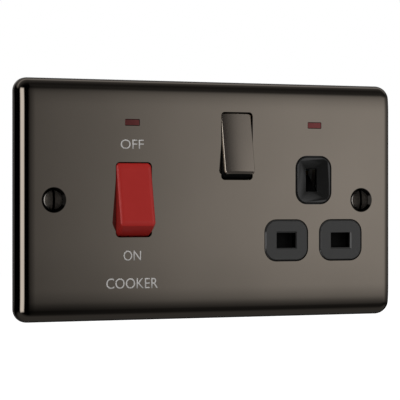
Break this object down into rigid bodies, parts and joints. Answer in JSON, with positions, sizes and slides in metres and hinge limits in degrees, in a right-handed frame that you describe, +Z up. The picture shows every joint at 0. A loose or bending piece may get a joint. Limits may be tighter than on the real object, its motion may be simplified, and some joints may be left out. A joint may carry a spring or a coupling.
{
  "type": "cooker control unit",
  "caption": "Flush wall plate with a red double-pole cooker rocker switch, a switched three-pin socket outlet, neon windows, shutters and rear screw terminals.",
  "frame": {"origin": "midway between the two fixing screws, on the wall plane, which is the plane of the plate's rim", "axes": "+X to the right seen from the room, +Z up, +Y into the wall; both rockers at OFF"},
  "size_m": [0.147, 0.0332, 0.086],
  "materials": {
    "black_nickel": "polished black nickel plate",
    "black_moulding": "moulded, semi-gloss",
    "housing_moulding": "moulded urea, plain",
    "red_moulding": "moulded, satin",
    "natural_nylon": "natural nylon",
    "shutter_moulding": "moulded",
    "spring_steel": "drawn wire",
    "screw_steel": "zinc plated",
    "brass": "pressed and drawn",
    "copper": "rolled strip",
    "neon_lens": "clear red moulding",
    "lamp_glass": "clear tube",
    "resistor_coat": "lacquered"
  },
  "bodies": {
    "unit": {"face_plate": "black_nickel", "front_moulding": "black_moulding", "switch_housing": "housing_moulding", "socket_housing": "housing_moulding", "shutter_spring": "spring_steel", "line_load_terminal": "brass", "line_supply_terminal": "brass", "neutral_load_terminal": "brass", "neutral_supply_terminal": "brass", "socket_feed_strap": "brass", "socket_line_strap": "brass", "line_clip": "brass", "neutral_clip": "brass", "earth_clip": "brass", "earth_terminal": "brass", "line_link": "copper", "neutral_link": "copper", "cooker_neon_lens": "neon_lens", "socket_neon_lens": "neon_lens", "cooker_neon_lamp": "lamp_glass", "socket_neon_lamp": "lamp_glass", "cooker_neon_resistor": "resistor_coat", "socket_neon_resistor": "resistor_coat", "fixing_screws": "screw_steel", "terminal_screws": "screw_steel", "assembly_screws": "screw_steel"},
    "cooker_rocker": {"cooker_rocker": "red_moulding", "cooker_line_spring": "spring_steel", "cooker_neutral_spring": "spring_steel"},
    "cooker_line_plunger": {"cooker_line_plunger": "natural_nylon"},
    "cooker_neutral_plunger": {"cooker_neutral_plunger": "natural_nylon"},
    "cooker_line_arm": {"cooker_line_arm": "brass"},
    "cooker_neutral_arm": {"cooker_neutral_arm": "brass"},
    "socket_rocker": {"socket_rocker": "black_moulding", "socket_rocker_cap": "black_nickel", "socket_spring": "spring_steel"},
    "socket_plunger": {"socket_plunger": "natural_nylon"},
    "socket_arm": {"socket_arm": "brass"},
    "shutter": {"shutter": "shutter_moulding"}
  },
  "joints": [
    {"name": "cooker_rocker_swing", "type": "hinge", "parent": "unit", "child": "cooker_rocker", "pos_m": [-0.0305, -0.0009, 0.0002], "axis": [1, 0, 0], "range_deg": [0, 25]},
    {"name": "socket_rocker_swing", "type": "hinge", "parent": "unit", "child": "socket_rocker", "pos_m": [0.00955, -0.0009, 0.0196], "axis": [1, 0, 0], "range_deg": [0, 22]},
    {"name": "cooker_line_arm_rock", "type": "hinge", "parent": "unit", "child": "cooker_line_arm", "pos_m": [-0.0341, 0.00929, 0.0002], "axis": [1, 0, 0], "range_deg": [-16, 0]},
    {"name": "cooker_neutral_arm_rock", "type": "hinge", "parent": "unit", "child": "cooker_neutral_arm", "pos_m": [-0.0269, 0.00929, 0.0002], "axis": [1, 0, 0], "range_deg": [-16, 0]},
    {"name": "socket_arm_rock", "type": "hinge", "parent": "unit", "child": "socket_arm", "pos_m": [0.00955, 0.00929, 0.0196], "axis": [1, 0, 0], "range_deg": [-16, 0]},
    {"name": "cooker_line_plunger_press", "type": "slide", "parent": "cooker_rocker", "child": "cooker_line_plunger", "axis": [0, -0.9763, 0.2164], "range_m": [0, 0.0012], "stiffness_N_per_m": 300, "springref_m": -0.003, "deforming": ["cooker_line_spring"]},
    {"name": "cooker_neutral_plunger_press", "type": "slide", "parent": "cooker_rocker", "child": "cooker_neutral_plunger", "axis": [0, -0.9763, 0.2164], "range_m": [0, 0.0012], "stiffness_N_per_m": 300, "springref_m": -0.003, "deforming": ["cooker_neutral_spring"]},
    {"name": "socket_plunger_press", "type": "slide", "parent": "socket_rocker", "child": "socket_plunger", "axis": [0, -0.9816, 0.1908], "range_m": [0, 0.0012], "stiffness_N_per_m": 300, "springref_m": -0.003, "deforming": ["socket_spring"]},
    {"name": "shutter_drop", "type": "slide", "parent": "unit", "child": "shutter", "axis": [0, 0, -1], "range_m": [0, 0.0066], "stiffness_N_per_m": 60, "springref_m": -0.006, "deforming": ["shutter_spring"]}
  ],
  "couplings": [
    {"joint": "cooker_line_arm_rock", "follows": "cooker_rocker_swing", "ratio": -0.64},
    {"joint": "cooker_neutral_arm_rock", "follows": "cooker_rocker_swing", "ratio": -0.64},
    {"joint": "socket_arm_rock", "follows": "socket_rocker_swing", "ratio": -0.72727}
  ]
}
